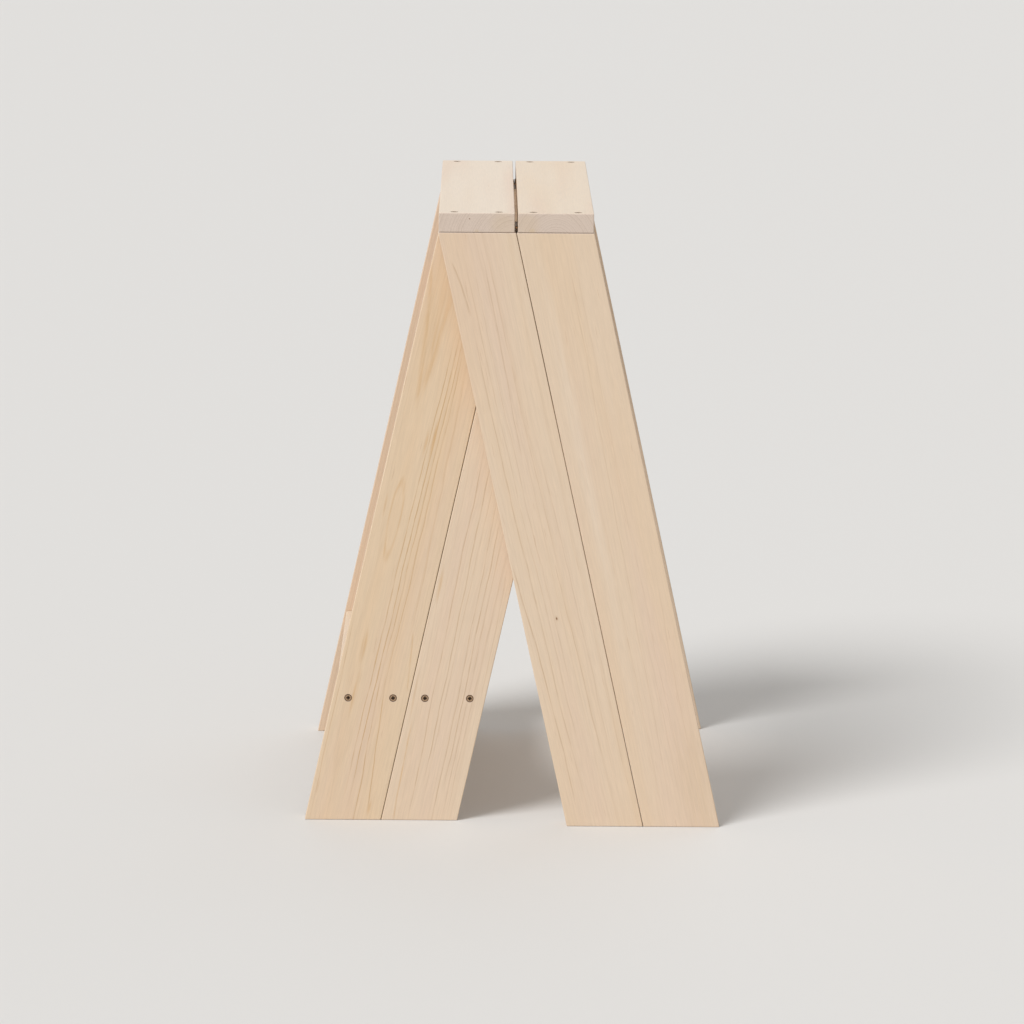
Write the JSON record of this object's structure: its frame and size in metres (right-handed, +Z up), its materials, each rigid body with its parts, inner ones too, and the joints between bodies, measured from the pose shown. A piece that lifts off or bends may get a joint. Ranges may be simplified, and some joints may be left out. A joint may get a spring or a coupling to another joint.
{
  "type": "folding sawhorse",
  "caption": "Wooden folding sawhorse: a two-board seat on board legs, with an inner leg frame and shelf that swing on pivot bolts under the seat.",
  "frame": {"origin": "on the ground, under the middle of the seat", "axes": "+X across the sawhorse towards the outer legs' feet, +Y along the seat, +Z up"},
  "size_m": [0.5024, 0.536, 0.746],
  "materials": {
    "seat_wood": "planed softwood, bare, satin",
    "leg_wood": "planed softwood, bare, satin",
    "shelf_wood": "planed softwood, bare, satin",
    "batten_wood": "planed softwood, bare, satin",
    "screw_steel": "dark bronze coating, satin",
    "zinc_steel": "bright zinc plating"
  },
  "bodies": {
    "outer_frame": {"seat_board_left": "seat_wood", "seat_board_right": "seat_wood", "outer_leg_front_left": "leg_wood", "outer_leg_front_right": "leg_wood", "outer_leg_back_left": "leg_wood", "outer_leg_back_right": "leg_wood", "seat_batten_front": "batten_wood", "seat_batten_back": "batten_wood", "seat_screw_front_1": "screw_steel", "seat_screw_front_2": "screw_steel", "seat_screw_front_3": "screw_steel", "seat_screw_front_4": "screw_steel", "seat_screw_back_1": "screw_steel", "seat_screw_back_2": "screw_steel", "seat_screw_back_3": "screw_steel", "seat_screw_back_4": "screw_steel", "seat_batten_screw_front_1": "screw_steel", "seat_batten_screw_front_2": "screw_steel", "seat_batten_screw_front_3": "screw_steel", "seat_batten_screw_front_4": "screw_steel", "seat_batten_screw_back_1": "screw_steel", "seat_batten_screw_back_2": "screw_steel", "seat_batten_screw_back_3": "screw_steel", "seat_batten_screw_back_4": "screw_steel", "pivot_bolt_front": "zinc_steel", "head_washer_front": "zinc_steel", "spacer_washer_front": "zinc_steel", "pivot_bolt_back": "zinc_steel", "head_washer_back": "zinc_steel", "spacer_washer_back": "zinc_steel"},
    "inner_frame": {"inner_leg_front_left": "leg_wood", "inner_leg_front_right": "leg_wood", "inner_leg_back_left": "leg_wood", "inner_leg_back_right": "leg_wood", "shelf_board_left": "shelf_wood", "shelf_board_right": "shelf_wood", "leg_batten_front": "batten_wood", "leg_batten_back": "batten_wood", "shelf_batten": "batten_wood", "shelf_screw_front_1": "screw_steel", "shelf_screw_front_2": "screw_steel", "shelf_screw_front_3": "screw_steel", "shelf_screw_front_4": "screw_steel", "shelf_screw_back_1": "screw_steel", "shelf_screw_back_2": "screw_steel", "shelf_screw_back_3": "screw_steel", "shelf_screw_back_4": "screw_steel", "leg_batten_screw_front_1": "screw_steel", "leg_batten_screw_front_2": "screw_steel", "leg_batten_screw_front_3": "screw_steel", "leg_batten_screw_front_4": "screw_steel", "leg_batten_screw_back_1": "screw_steel", "leg_batten_screw_back_2": "screw_steel", "leg_batten_screw_back_3": "screw_steel", "leg_batten_screw_back_4": "screw_steel", "shelf_batten_screw_1": "screw_steel", "shelf_batten_screw_2": "screw_steel", "shelf_batten_screw_3": "screw_steel", "shelf_batten_screw_4": "screw_steel"}
  },
  "joints": [
    {"name": "fold", "type": "hinge", "parent": "outer_frame", "child": "inner_frame", "pos_m": [0.0542, 0, 0.6912], "axis": [0, -1, 0], "range_deg": [0, 24.88]}
  ]
}
